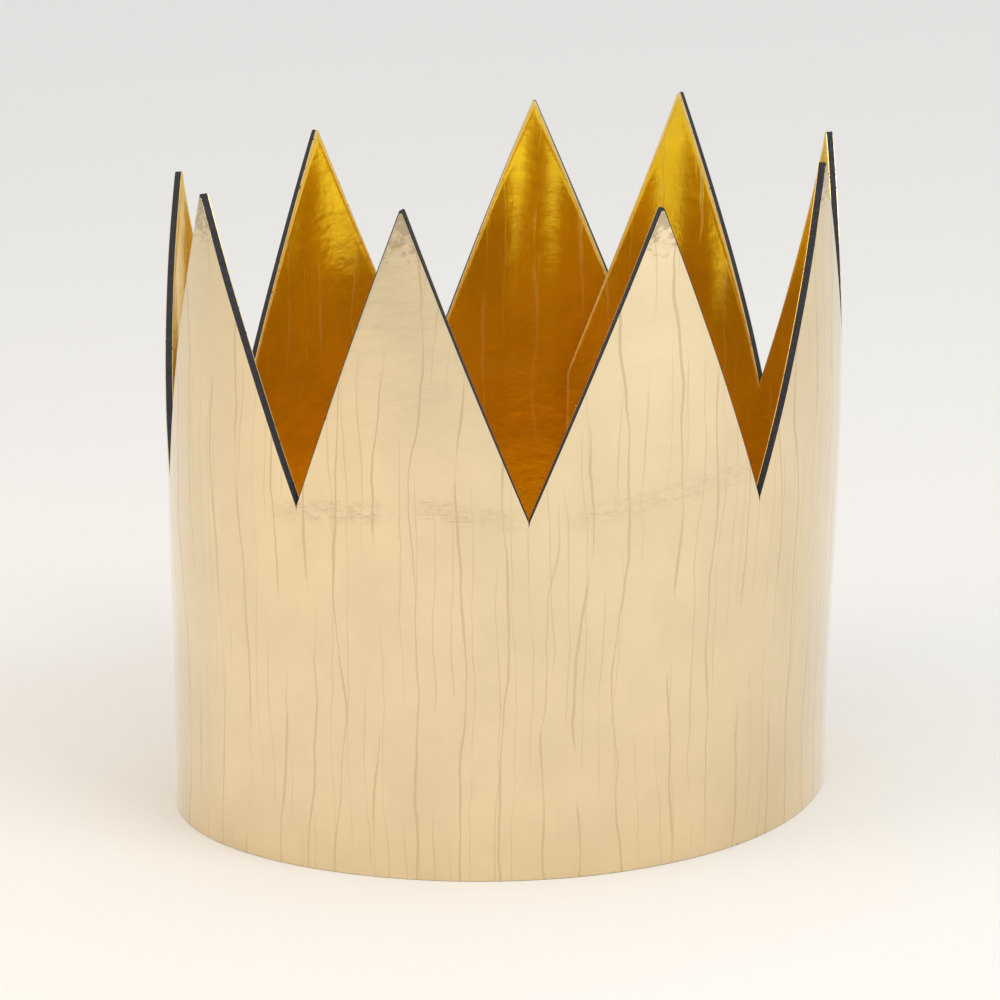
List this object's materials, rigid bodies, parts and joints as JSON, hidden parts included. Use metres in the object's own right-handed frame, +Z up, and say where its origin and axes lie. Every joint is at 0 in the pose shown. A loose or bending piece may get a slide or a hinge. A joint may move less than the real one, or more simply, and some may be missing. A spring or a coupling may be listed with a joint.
{
  "type": "dress-up crown",
  "caption": "Pointed dress-up crown: one die-cut strip of gold-foiled foam bent into a ring and closed at the back with hook-and-loop tape.",
  "frame": {"origin": "centre of the ring on the plane that the base rim stands on", "axes": "+Z up towards the points, -Y out through the front of the crown, +Y out through the back, +X to the left-hand side of a wearer who faces -Y"},
  "size_m": [0.1796, 0.1835, 0.177],
  "materials": {
    "foam": "dull closed-cell foam, die-cut edge",
    "outer_foil": "mirror-gold metallised film, finely creased",
    "inner_foil": "mirror-gold metallised film, finely creased",
    "hook_tape": "woven tape with moulded hooks",
    "loop_tape": "woven tape with brushed loops",
    "thread": "pale zigzag stitching"
  },
  "bodies": {
    "band": {"foam_core": "foam", "outer_foil": "outer_foil", "inner_foil": "inner_foil", "hook_tape": "hook_tape", "hook_tape_stitching": "thread"},
    "flap": {"flap_core": "foam", "flap_outer_foil": "outer_foil", "flap_inner_foil": "inner_foil", "loop_tape": "loop_tape", "loop_tape_stitching": "thread"}
  },
  "joints": [
    {"name": "closure_flap", "type": "hinge", "parent": "band", "child": "flap", "pos_m": [-0.025, 0.08625, 0], "axis": [0, 0, 1], "range_deg": [0, 45]}
  ]
}
